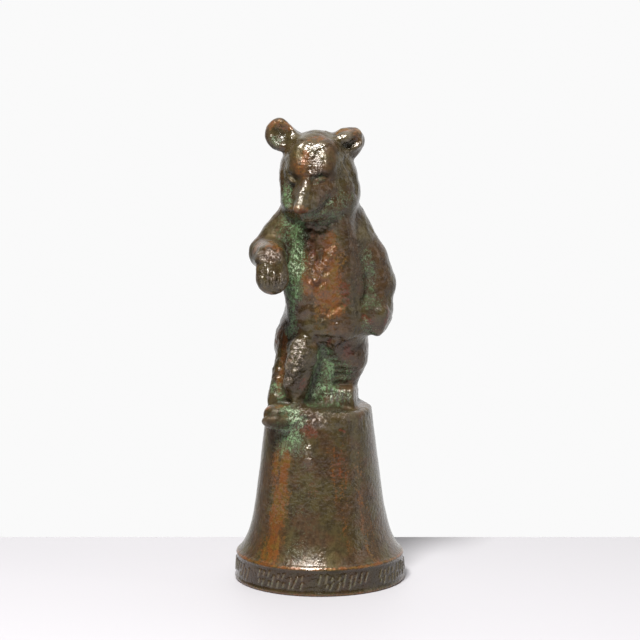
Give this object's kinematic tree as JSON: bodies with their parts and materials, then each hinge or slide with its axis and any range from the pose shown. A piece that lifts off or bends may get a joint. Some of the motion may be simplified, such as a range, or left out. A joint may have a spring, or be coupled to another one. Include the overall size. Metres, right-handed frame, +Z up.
{
  "type": "bronze bear sculpture on a bell",
  "caption": "Small bronze of an upright bear, head bowed, one paw raised and one foot forward, cast in one with the flared hollow bell it stands on.",
  "frame": {"origin": "centre of the bell's mouth, in the plane that the bell stands on", "axes": "+Z up; the bear's front faces -Y; +X is the bear's left side"},
  "size_m": [0.063, 0.063, 0.1692],
  "materials": {
    "patinated_bronze": "dark brown cast bronze, orange-brown where it is rubbed, with green patina in the hollows"
  },
  "bodies": {
    "root": {"bear_on_bell": "patinated_bronze"}
  },
  "joints": []
}
